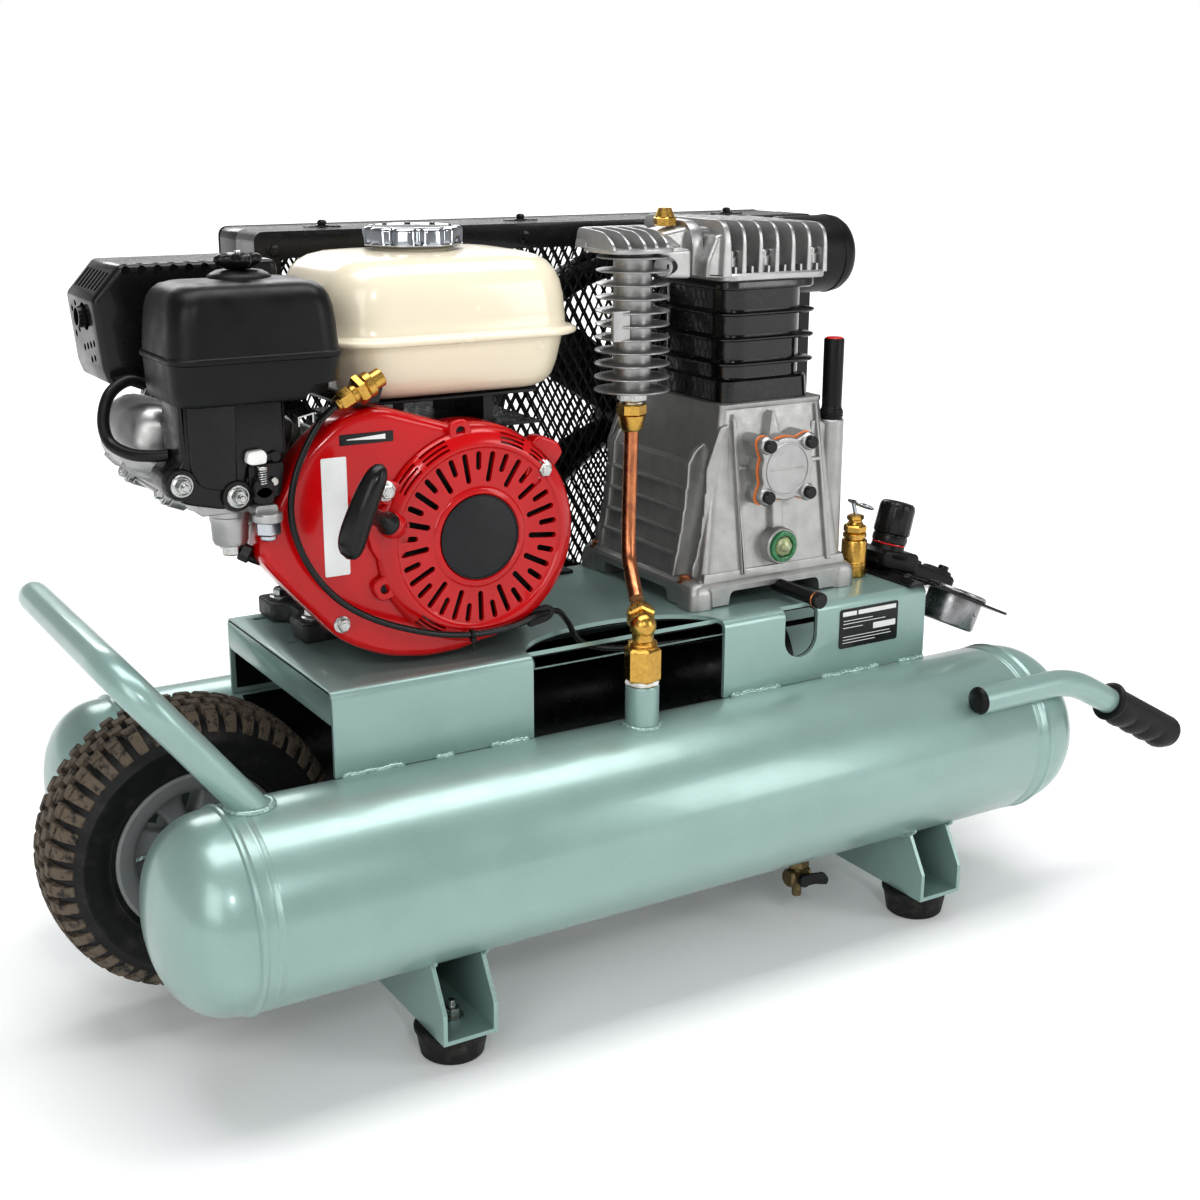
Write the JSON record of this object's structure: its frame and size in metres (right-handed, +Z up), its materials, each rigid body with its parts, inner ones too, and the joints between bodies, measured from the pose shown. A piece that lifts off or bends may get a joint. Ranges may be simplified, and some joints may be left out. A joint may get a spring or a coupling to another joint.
{
  "type": "wheelbarrow air compressor",
  "caption": "Petrol-engine wheelbarrow air compressor: side-by-side tanks, belt-driven pump behind a mesh guard, front wheel and rear grips.",
  "frame": {"origin": "centre of the bounding box's base, on the floor under the rubber feet", "axes": "+X along the tanks from the wheel to the hand grips, +Y from the recoil-starter side to the belt-guard side, +Z up"},
  "size_m": [1.1054, 0.4794, 0.677],
  "materials": {
    "tank_paint": "semi-gloss sage-green enamel",
    "black_enamel": "gloss black enamel",
    "red_enamel": "gloss red enamel",
    "cream_enamel": "gloss cream enamel",
    "black_plastic": "moulded, fine grain",
    "rubber": "moulded rubber",
    "tyre": "dusty tread",
    "rim_grey": "moulded grey",
    "steel": "zinc-plated",
    "cast_iron": "machined grooves, cast webs",
    "cast_aluminium": "as cast",
    "engine_casting": "cast, dark grey paint",
    "chrome": "bright plated",
    "brass": "turned",
    "copper": "bare copper tube, lightly tarnished",
    "white_plastic": "moulded",
    "green_lens": "tinted lens"
  },
  "bodies": {
    "frame": {"front_tank": "tank_paint", "rear_tank": "tank_paint", "deck": "tank_paint", "wheel_end_channel": "tank_paint", "handle_end_channel": "tank_paint", "lift_bar": "tank_paint", "front_handle": "tank_paint", "rear_handle": "tank_paint", "guard_shell": "black_enamel", "guard_front_grille": "black_enamel", "guard_rear_grille": "black_enamel", "cylinder_block": "black_enamel", "muffler": "black_enamel", "control_panel": "black_enamel", "fan_shroud": "red_enamel", "recoil_cover": "red_enamel", "fuel_tank": "cream_enamel", "front_grip": "black_plastic", "rear_grip": "black_plastic", "intake_filter": "black_plastic", "oil_drain_tube": "black_plastic", "air_cleaner_base": "black_plastic", "regulator": "black_plastic", "wheel_end_front_foot": "rubber", "wheel_end_rear_foot": "rubber", "handle_end_front_foot": "rubber", "handle_end_rear_foot": "rubber", "drive_belt": "rubber", "breather_hose": "rubber", "throttle_line": "rubber", "axle": "steel", "pump_crankcase": "cast_aluminium", "bearing_cover": "cast_aluminium", "cylinder_head": "cast_aluminium", "aftercooler": "cast_aluminium", "valve_cover": "cast_aluminium", "carburettor": "cast_aluminium", "engine_block": "engine_casting", "tank_gauge": "chrome", "tank_elbow": "brass", "throttle_actuator": "brass", "relief_valve": "brass", "drain_valve": "brass", "discharge_tube": "copper", "sight_glass": "green_lens"},
    "wheel": {"tyre": "tyre", "rim": "rim_grey"},
    "pump_drive": {"flywheel": "cast_iron", "pump_crankshaft": "steel"},
    "engine_drive": {"crankshaft_and_fan": "cast_iron", "engine_pulley": "cast_iron"},
    "starter_grip": {"recoil_handle": "black_plastic"},
    "choke": {"choke_lever": "white_plastic"},
    "filler_cap": {"fuel_cap": "chrome"},
    "filter_lid": {"air_cleaner_cover": "black_plastic"},
    "lid_knob": {"cover_knob": "black_plastic"},
    "pressure_knob": {"regulator_knob": "black_plastic"},
    "drain_handle": {"drain_lever": "black_enamel"},
    "relief_pull": {"relief_ring": "steel"},
    "oil_dipstick": {"dipstick": "black_plastic"}
  },
  "joints": [
    {"name": "wheel_spin", "type": "hinge", "parent": "frame", "child": "wheel", "pos_m": [-0.4262, 0, 0.161], "axis": [0, 1, 0], "continuous": true},
    {"name": "flywheel_spin", "type": "hinge", "parent": "frame", "child": "pump_drive", "pos_m": [0.1338, 0.188, 0.441], "axis": [0, 1, 0], "continuous": true},
    {"name": "engine_spin", "type": "hinge", "parent": "frame", "child": "engine_drive", "pos_m": [-0.1972, 0.188, 0.421], "axis": [0, 1, 0], "continuous": true},
    {"name": "starter_pull", "type": "slide", "parent": "frame", "child": "starter_grip", "axis": [-0.7002, -0.5802, 0.4161], "range_m": [0, 0.6], "stiffness_N_per_m": 20, "springref_m": -0.4},
    {"name": "choke_turn", "type": "hinge", "parent": "frame", "child": "choke", "pos_m": [-0.3682, -0.101, 0.505], "axis": [0, 1, 0], "range_deg": [0, 55]},
    {"name": "filler_cap_turn", "type": "hinge", "parent": "frame", "child": "filler_cap", "pos_m": [-0.1982, 0.005, 0.65], "axis": [0, 0, 1], "range_deg": [0, 90]},
    {"name": "filter_lid_lift", "type": "slide", "parent": "frame", "child": "filter_lid", "axis": [0, 0, 1], "range_m": [0, 0.08]},
    {"name": "lid_knob_turn", "type": "hinge", "parent": "filter_lid", "child": "lid_knob", "pos_m": [-0.3732, -0.054, 0.645], "axis": [0, 0, 1], "continuous": true},
    {"name": "pressure_knob_turn", "type": "hinge", "parent": "frame", "child": "pressure_knob", "pos_m": [0.2978, -0.05, 0.335], "axis": [0.2588, 0, 0.9659], "range_deg": [0, 360]},
    {"name": "drain_turn", "type": "hinge", "parent": "frame", "child": "drain_handle", "pos_m": [0.1178, -0.162, 0.054], "axis": [0, 1, 0], "range_deg": [0, 90]},
    {"name": "relief_lift", "type": "slide", "parent": "frame", "child": "relief_pull", "axis": [0, 0, 1], "range_m": [0, 0.006], "stiffness_N_per_m": 600, "springref_m": -0.004},
    {"name": "dipstick_lift", "type": "slide", "parent": "frame", "child": "oil_dipstick", "axis": [0, 0, 1], "range_m": [0, 0.12]}
  ],
  "couplings": [
    {"joint": "engine_spin", "follows": "flywheel_spin", "ratio": 3.7917}
  ]
}
